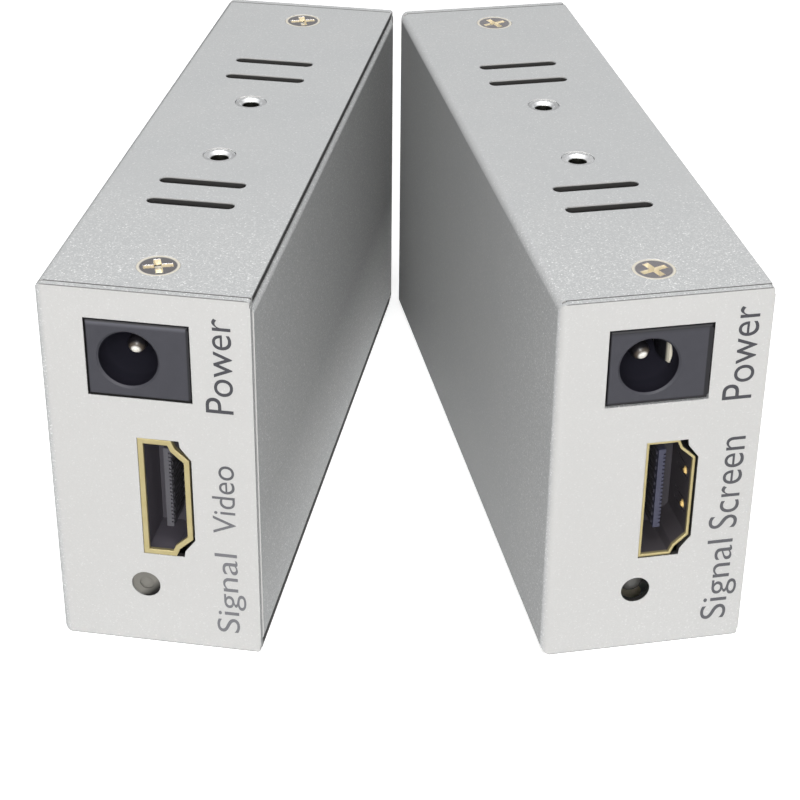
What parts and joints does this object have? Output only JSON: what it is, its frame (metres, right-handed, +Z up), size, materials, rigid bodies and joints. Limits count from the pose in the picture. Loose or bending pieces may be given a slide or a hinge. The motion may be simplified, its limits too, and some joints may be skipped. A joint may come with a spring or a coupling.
{
  "type": "hdmi extender",
  "caption": "Pair of slim silver sheet-metal boxes, a sender and a receiver, with a picture socket, a round power jack and a status lamp on one end and a network socket on the other.",
  "frame": {"origin": "middle of the pair on the surface that they stand on", "axes": "+Z up, -Y towards the socket ends, +X from the transmitter to the receiver"},
  "size_m": [0.077, 0.0888, 0.0449],
  "materials": {
    "silver_paint": "fine-textured silver powder coat with a metallic grain",
    "nickel_screws": "bright nickel plating",
    "zinc_nuts": "bright zinc plating",
    "board_laminate": "green solder mask over glass laminate",
    "black_nylon": "moulded, satin",
    "nickel_contacts": "nickel plating",
    "tinned_tabs": "tin plating",
    "gilt_shell": "thin gold flash",
    "gold_contacts": "gold plating",
    "lamp_resin": "clear tinted epoxy",
    "window_resin": "frosted clear resin",
    "nickel_shield": "tinned sheet",
    "chip_resin": "moulded epoxy",
    "capacitor_can": "drawn can",
    "ferrite_coil": "pressed ferrite"
  },
  "bodies": {
    "transmitter": {"transmitter_cover": "silver_paint", "transmitter_base_plate": "silver_paint", "transmitter_cover_screws": "nickel_screws", "transmitter_bracket_nuts": "zinc_nuts", "transmitter_main_board": "board_laminate", "transmitter_board_standoffs": "zinc_nuts", "transmitter_board_screws": "nickel_screws", "transmitter_jack_housing": "black_nylon", "transmitter_jack_pin": "nickel_contacts", "transmitter_jack_terminals": "tinned_tabs", "transmitter_hdmi_shell": "gilt_shell", "transmitter_hdmi_insulator": "black_nylon", "transmitter_hdmi_contacts": "gold_contacts", "transmitter_status_led": "lamp_resin", "transmitter_led_legs": "tinned_tabs", "transmitter_lan_shield": "nickel_shield", "transmitter_lan_housing": "black_nylon", "transmitter_lan_terminals": "tinned_tabs", "transmitter_lan_lamps": "window_resin", "transmitter_main_chip": "chip_resin", "transmitter_line_transformer": "chip_resin", "transmitter_capacitors": "capacitor_can", "transmitter_power_inductor": "ferrite_coil", "transmitter_crystal": "capacitor_can", "transmitter_voltage_regulator": "chip_resin"},
    "transmitter_jack_contact": {"transmitter_jack_spring": "nickel_contacts"},
    "transmitter_network_contacts": {"transmitter_lan_contacts": "gold_contacts"},
    "receiver": {"receiver_cover": "silver_paint", "receiver_base_plate": "silver_paint", "receiver_cover_screws": "nickel_screws", "receiver_bracket_nuts": "zinc_nuts", "receiver_main_board": "board_laminate", "receiver_board_standoffs": "zinc_nuts", "receiver_board_screws": "nickel_screws", "receiver_jack_housing": "black_nylon", "receiver_jack_pin": "nickel_contacts", "receiver_jack_terminals": "tinned_tabs", "receiver_hdmi_shell": "gilt_shell", "receiver_hdmi_insulator": "black_nylon", "receiver_hdmi_contacts": "gold_contacts", "receiver_status_led": "lamp_resin", "receiver_led_legs": "tinned_tabs", "receiver_lan_shield": "nickel_shield", "receiver_lan_housing": "black_nylon", "receiver_lan_terminals": "tinned_tabs", "receiver_lan_lamps": "window_resin", "receiver_main_chip": "chip_resin", "receiver_line_transformer": "chip_resin", "receiver_capacitors": "capacitor_can", "receiver_power_inductor": "ferrite_coil", "receiver_crystal": "capacitor_can", "receiver_voltage_regulator": "chip_resin"},
    "receiver_jack_contact": {"receiver_jack_spring": "nickel_contacts"},
    "receiver_network_contacts": {"receiver_lan_contacts": "gold_contacts"}
  },
  "joints": [
    {"name": "receiver_lift", "type": "slide", "parent": "transmitter", "child": "receiver", "axis": [0, 0, 1], "range_m": [0, 0.06]},
    {"name": "transmitter_jack_contact_flex", "type": "hinge", "parent": "transmitter", "child": "transmitter_jack_contact", "pos_m": [-0.02377, -0.03149, 0.0367], "axis": [0, 0, 1], "range_deg": [0, 4], "stiffness_Nm_per_rad": 0.5},
    {"name": "transmitter_network_contacts_flex", "type": "hinge", "parent": "transmitter", "child": "transmitter_network_contacts", "pos_m": [-0.01992, 0.04108, 0.02245], "axis": [0, 0, -1], "range_deg": [0, 8], "stiffness_Nm_per_rad": 0.4},
    {"name": "receiver_jack_contact_flex", "type": "hinge", "parent": "receiver", "child": "receiver_jack_contact", "pos_m": [0.02694, -0.03068, 0.0367], "axis": [0, 0, 1], "range_deg": [0, 4], "stiffness_Nm_per_rad": 0.5},
    {"name": "receiver_network_contacts_flex", "type": "hinge", "parent": "receiver", "child": "receiver_network_contacts", "pos_m": [0.00501, 0.0386, 0.02245], "axis": [0, 0, -1], "range_deg": [0, 8], "stiffness_Nm_per_rad": 0.4}
  ]
}
